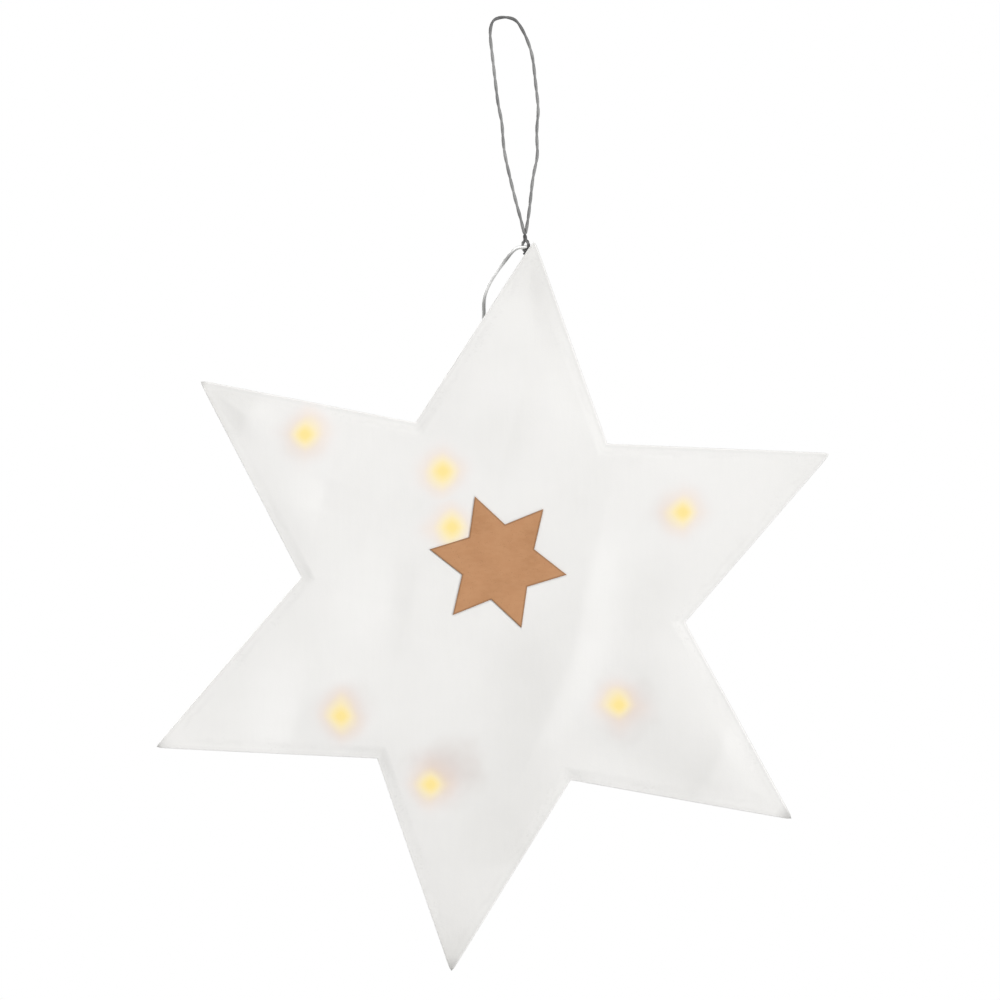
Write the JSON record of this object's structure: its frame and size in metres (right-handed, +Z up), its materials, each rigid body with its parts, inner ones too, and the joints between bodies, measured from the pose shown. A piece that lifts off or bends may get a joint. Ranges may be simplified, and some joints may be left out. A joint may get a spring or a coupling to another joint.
{
  "type": "paper star lantern",
  "caption": "Flat paper star on a wire frame with warm lights inside, a small brown paper star on the front, a battery box behind and a twisted wire loop to hang it by.",
  "frame": {"origin": "underside of the hanging loop's top arch, where a hook carries it", "axes": "+Z up as it hangs, +X to the right seen from the front, +Y from the front of the star to its back"},
  "size_m": [0.3027, 0.0288, 0.4284],
  "materials": {
    "twisted_wire": "dull galvanised, two strands twisted",
    "bright_wire": "bright drawn wire",
    "frame_steel": "plain drawn wire",
    "white_paper": "matt handmade paper, softly creased",
    "kraft_paper": "matt brown paper with fine fibres",
    "led_epoxy": "clear epoxy, lit warm white",
    "clear_sleeve": "milky shrink sleeve",
    "clear_insulation": "clear insulation over tinned wire",
    "clear_glue": "clear glue",
    "box_plastic": "fine moulded texture",
    "knob_plastic": "moulded, ridged",
    "switch_metal": "folded tinned sheet",
    "board": "green board",
    "cell_jacket": "plain dark jacket with a copper-coloured end band",
    "contact_plate": "nickel-plated sheet",
    "spring_wire": "nickel-plated spring wire",
    "foam": "white foam tape",
    "grommet_rubber": "black rubber"
  },
  "bodies": {
    "hanger": {"hanging_loop": "twisted_wire"},
    "star": {"hanger_bow": "bright_wire", "frame_wire": "frame_steel", "front_paper": "white_paper", "back_paper": "white_paper", "kraft_star": "kraft_paper", "led_lens_01": "led_epoxy", "led_lens_02": "led_epoxy", "led_lens_03": "led_epoxy", "led_lens_04": "led_epoxy", "led_lens_05": "led_epoxy", "led_lens_06": "led_epoxy", "led_lens_07": "led_epoxy", "led_lens_08": "led_epoxy", "led_lens_09": "led_epoxy", "led_lens_10": "led_epoxy", "led_socket_01": "clear_sleeve", "led_socket_02": "clear_sleeve", "led_socket_03": "clear_sleeve", "led_socket_04": "clear_sleeve", "led_socket_05": "clear_sleeve", "led_socket_06": "clear_sleeve", "led_socket_07": "clear_sleeve", "led_socket_08": "clear_sleeve", "led_socket_09": "clear_sleeve", "led_socket_10": "clear_sleeve", "led_wire_01": "clear_insulation", "led_wire_02": "clear_insulation", "led_wire_03": "clear_insulation", "led_wire_04": "clear_insulation", "led_wire_05": "clear_insulation", "led_wire_06": "clear_insulation", "led_wire_07": "clear_insulation", "led_wire_08": "clear_insulation", "led_wire_09": "clear_insulation", "supply_lead": "clear_insulation", "glue_dots": "clear_glue", "lead_grommet": "grommet_rubber", "foam_pad": "foam", "battery_housing": "box_plastic", "switch_deck": "box_plastic", "switch_body": "switch_metal", "driver_board": "board", "aa_cell_1": "cell_jacket", "aa_cell_2": "cell_jacket", "cell_spring_lower": "spring_wire", "cell_spring_upper": "spring_wire", "negative_contact": "contact_plate", "positive_contact": "contact_plate", "bridge_contact": "contact_plate"},
    "cover": {"battery_cover": "box_plastic"},
    "switch": {"switch_knob": "knob_plastic"}
  },
  "joints": [
    {"name": "star_swing", "type": "hinge", "parent": "hanger", "child": "star", "pos_m": [0.009, 0, -0.1025], "axis": [1, 0, 0], "range_deg": [-90, 150]},
    {"name": "cover_slide", "type": "slide", "parent": "star", "child": "cover", "axis": [0.1132, 0, 0.9936], "range_m": [0, 0.06]},
    {"name": "switch_slide", "type": "slide", "parent": "star", "child": "switch", "axis": [-0.9936, 0, 0.1132], "range_m": [0, 0.004]}
  ]
}
